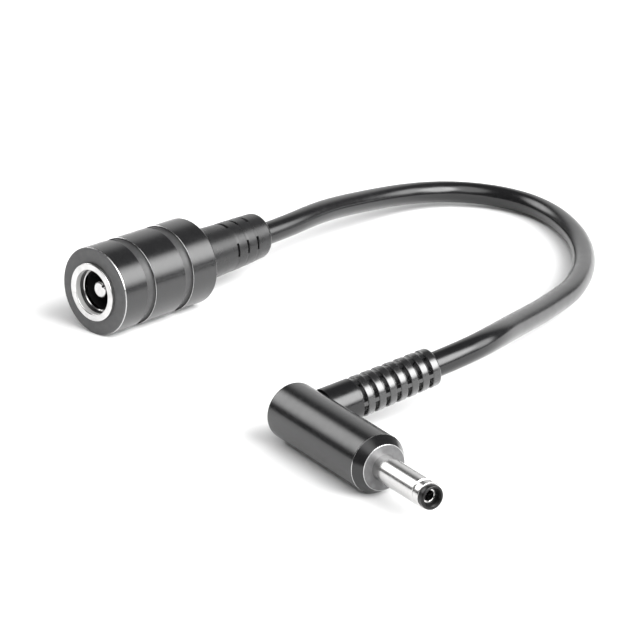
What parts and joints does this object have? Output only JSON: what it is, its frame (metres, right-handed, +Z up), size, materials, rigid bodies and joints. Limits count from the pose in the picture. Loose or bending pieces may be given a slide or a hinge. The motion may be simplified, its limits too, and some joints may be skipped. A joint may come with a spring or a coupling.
{
  "type": "dc barrel plug adapter lead",
  "caption": "DC power adapter lead with a straight socket in a grooved round sleeve, a short round cable and a right-angle barrel plug with a ribbed strain relief.",
  "frame": {"origin": "middle of the base of the two connectors' box, on the surface they lie on", "axes": "+Z up, -Y the way the socket faces, the plug turned 16.4 degrees from +X"},
  "size_m": [0.086, 0.1081, 0.013],
  "materials": {
    "gloss_black": "glossy black, smooth",
    "moulded_black": "satin black flexible moulding",
    "cable_black": "glossy black cable jacket",
    "insulator_black": "black insulating moulding",
    "nickel": "bright nickel plate",
    "tag_tinned": "tinned strip",
    "solder": "solder",
    "inner_white": "off-white inner moulding",
    "wire_red": "red wire insulation",
    "wire_black": "black wire insulation"
  },
  "bodies": {
    "root": {"jack_shell": "gloss_black", "jack_mouth_ring": "nickel", "jack_housing": "insulator_black", "jack_sleeve_contact": "nickel", "jack_centre_pin": "nickel", "jack_solder_centre": "solder", "jack_solder_sleeve": "solder", "jack_wire_centre": "wire_red", "jack_wire_sleeve": "wire_black", "jack_strain_relief": "moulded_black", "cable_jacket": "cable_black", "plug_cover": "gloss_black", "plug_inner_mould": "inner_white", "plug_barrel": "nickel", "plug_insulator": "insulator_black", "plug_centre_contact": "nickel", "plug_sleeve_tag": "tag_tinned", "plug_solder_centre": "solder", "plug_solder_sleeve": "solder", "plug_wire_centre": "wire_red", "plug_wire_sleeve": "wire_black"}
  },
  "joints": []
}
